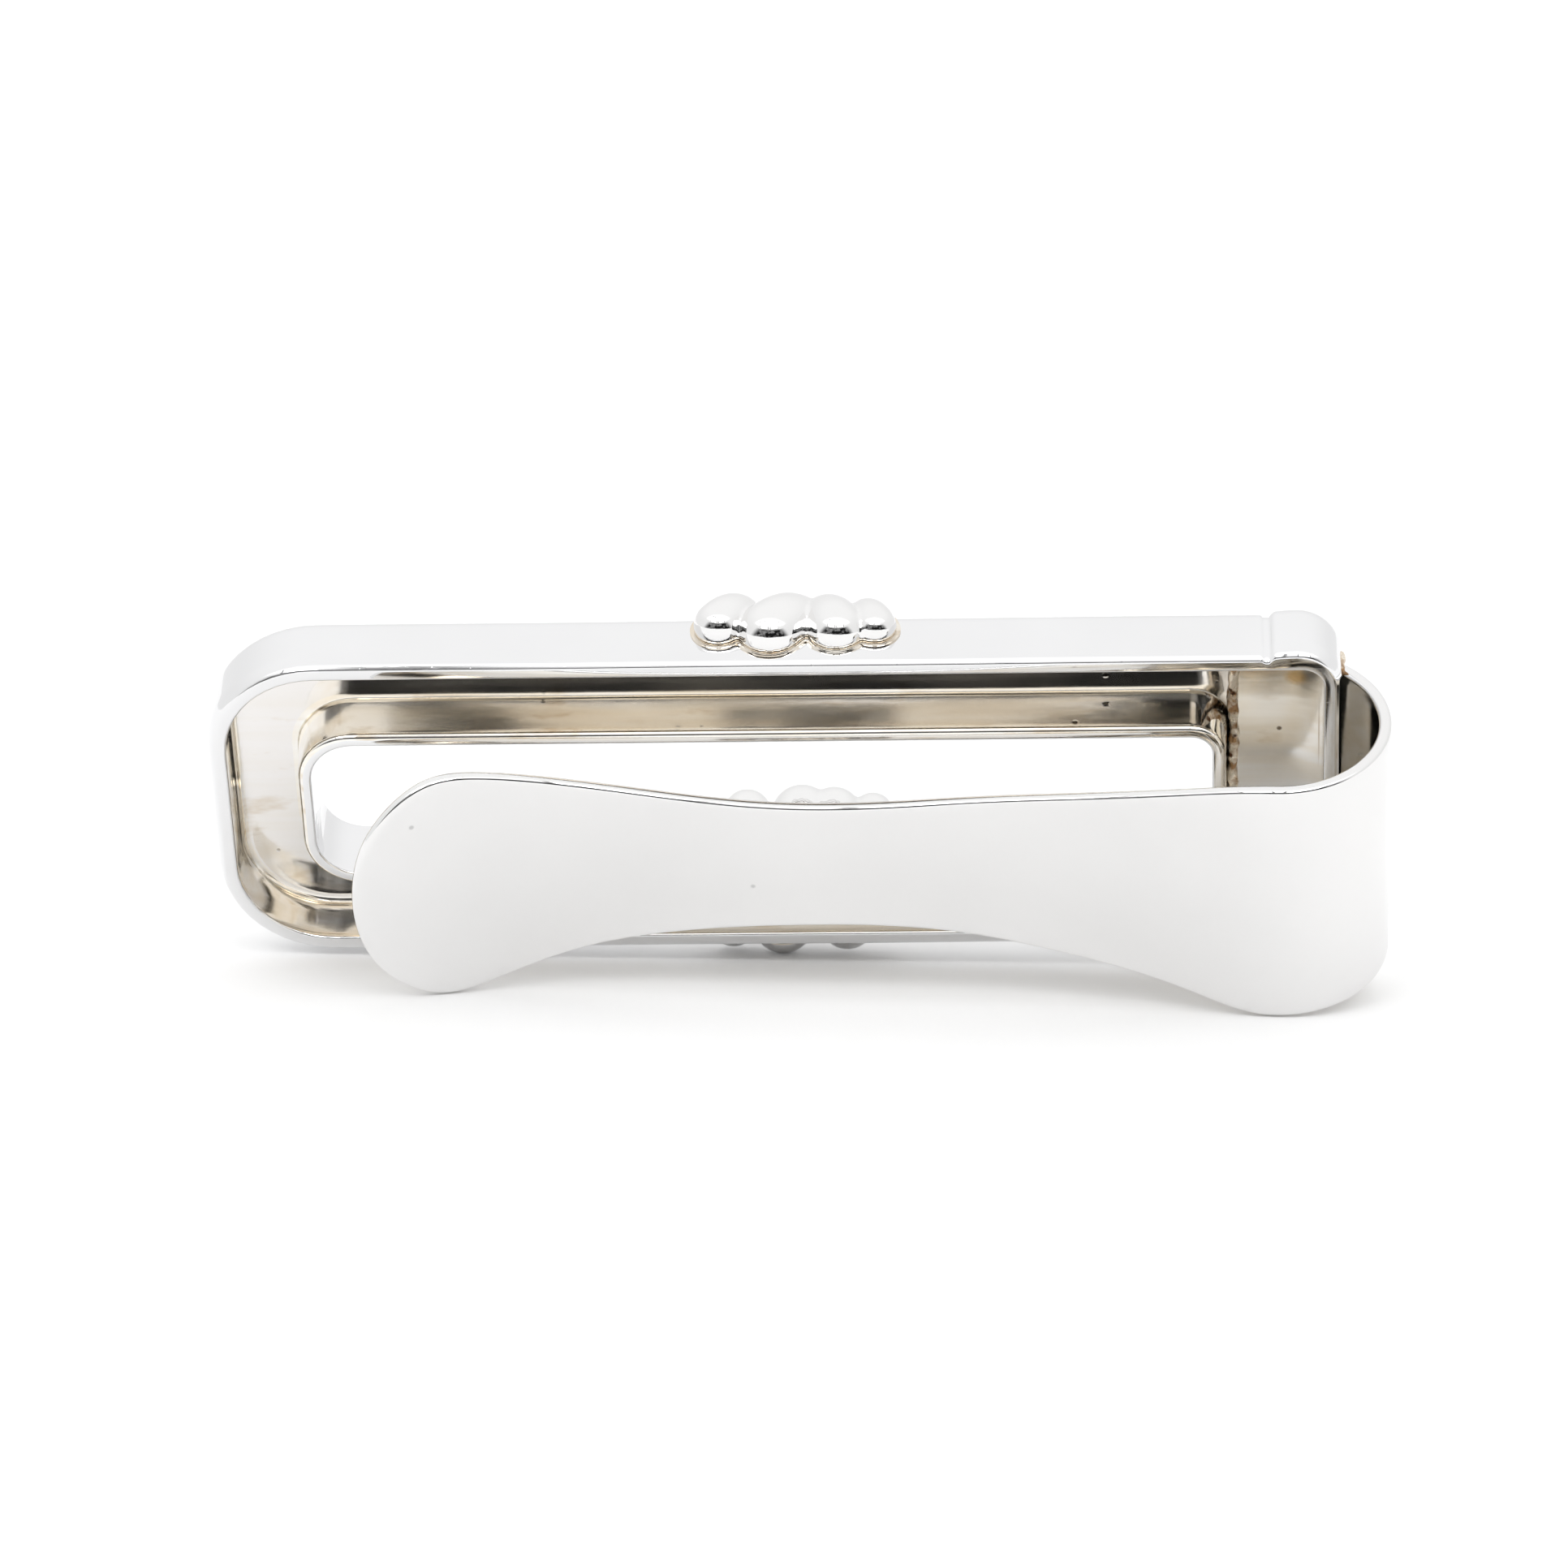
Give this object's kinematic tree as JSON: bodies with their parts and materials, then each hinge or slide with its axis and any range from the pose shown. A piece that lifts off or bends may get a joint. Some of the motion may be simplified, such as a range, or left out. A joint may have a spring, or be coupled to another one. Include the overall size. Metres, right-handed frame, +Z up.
{
  "type": "money clip",
  "caption": "Silver money clip: hollow rectangular frame with a window, corded cuffs on its long bars, and a springy tongue with a rounded paddle that grips folded notes.",
  "frame": {"origin": "middle of the overall box in X and Y, at the lowest point of the lower cuff", "axes": "+X along the clip towards the U bend, +Y towards the decorative front (the tongue is at -Y), +Z up across the bars"},
  "size_m": [0.054, 0.0125, 0.0203],
  "materials": {
    "frame_silver": "polished outside, tarnished inside the hollow",
    "strip_silver": "polished, lightly scratched",
    "cuff_silver": "high polish",
    "solder": "rough, oxidised brown"
  },
  "bodies": {
    "frame": {"frame_shell": "frame_silver", "spring_root": "strip_silver", "cuff_upper": "cuff_silver", "cuff_lower": "cuff_silver", "cuff_solder_upper": "solder", "cuff_solder_lower": "solder", "anchor_solder": "solder", "end_solder_upper": "solder", "end_solder_lower": "solder"},
    "tongue": {"spring_tongue": "strip_silver"}
  },
  "joints": [
    {"name": "tongue_flex", "type": "hinge", "parent": "frame", "child": "tongue", "pos_m": [0.0267, -0.0011, 0.01015], "axis": [0, 0, 1], "range_deg": [-5.2, 8], "stiffness_Nm_per_rad": 0.3}
  ]
}
